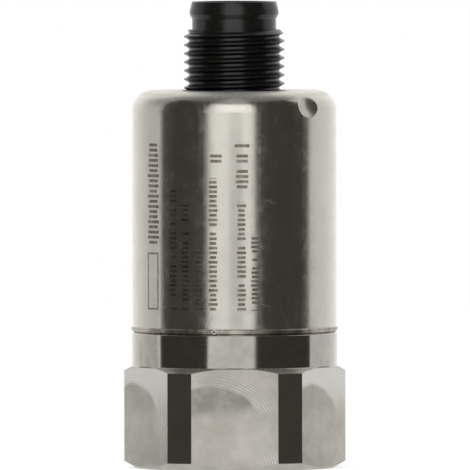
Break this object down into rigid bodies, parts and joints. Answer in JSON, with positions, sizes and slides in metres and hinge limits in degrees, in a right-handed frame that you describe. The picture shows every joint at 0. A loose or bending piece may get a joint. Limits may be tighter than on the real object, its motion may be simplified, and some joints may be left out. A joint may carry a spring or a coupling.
{
  "type": "pressure sensor",
  "caption": "Compact pressure sensor with a hexagonal steel foot tapped for the fluid line, a welded drawn steel housing and a round threaded plug with contacts.",
  "frame": {"origin": "centre of the flat end of the foot, on the axis of the sensor", "axes": "+Z along the axis from the pressure port to the plug, -Y out of the front flat of the hexagon"},
  "size_m": [0.0262, 0.0244, 0.0548],
  "materials": {
    "turned_steel": "turned and milled stainless steel, fine tool marks",
    "drawn_steel": "drawn stainless steel, smooth with fine scratches",
    "weld_steel": "laser weld bead, rippled",
    "cell_steel": "fine turned stainless steel",
    "bridge_glass": "thin glass layer with a metal film bridge",
    "gold_plating": "gold-plated",
    "board_laminate": "green solder mask",
    "carrier_plastic": "natural moulded plastic",
    "package_plastic": "moulded component body",
    "chip_ceramic": "small ceramic component with tinned ends",
    "tin_solder": "bright solder",
    "seal_rubber": "smooth",
    "plug_plastic": "black moulded plastic, slightly glossy"
  },
  "bodies": {
    "root": {"hexagon_foot": "turned_steel", "sensor_cell": "cell_steel", "cell_weld": "weld_steel", "strain_bridge": "bridge_glass", "bond_pads": "gold_plating", "bond_wires": "gold_plating", "board_carrier": "carrier_plastic", "signal_board": "board_laminate", "signal_chip": "package_plastic", "capacitor_1": "chip_ceramic", "capacitor_2": "chip_ceramic", "capacitor_3": "chip_ceramic", "capacitor_4": "chip_ceramic", "resistor_1": "chip_ceramic", "resistor_2": "chip_ceramic", "resistor_3": "chip_ceramic", "link_header": "carrier_plastic", "link_pin_1": "gold_plating", "link_pin_2": "gold_plating", "link_pin_3": "gold_plating", "link_solder": "tin_solder", "spacer_tube": "carrier_plastic", "plug_board": "board_laminate", "surge_diode_1": "package_plastic", "surge_diode_2": "package_plastic", "contact_solder": "tin_solder", "connector_plug": "plug_plastic", "contact_pin_1": "gold_plating", "contact_pin_2": "gold_plating", "contact_pin_3": "gold_plating", "contact_pin_4": "gold_plating", "plug_seal": "seal_rubber", "housing_sleeve": "drawn_steel", "housing_weld": "weld_steel"}
  },
  "joints": []
}
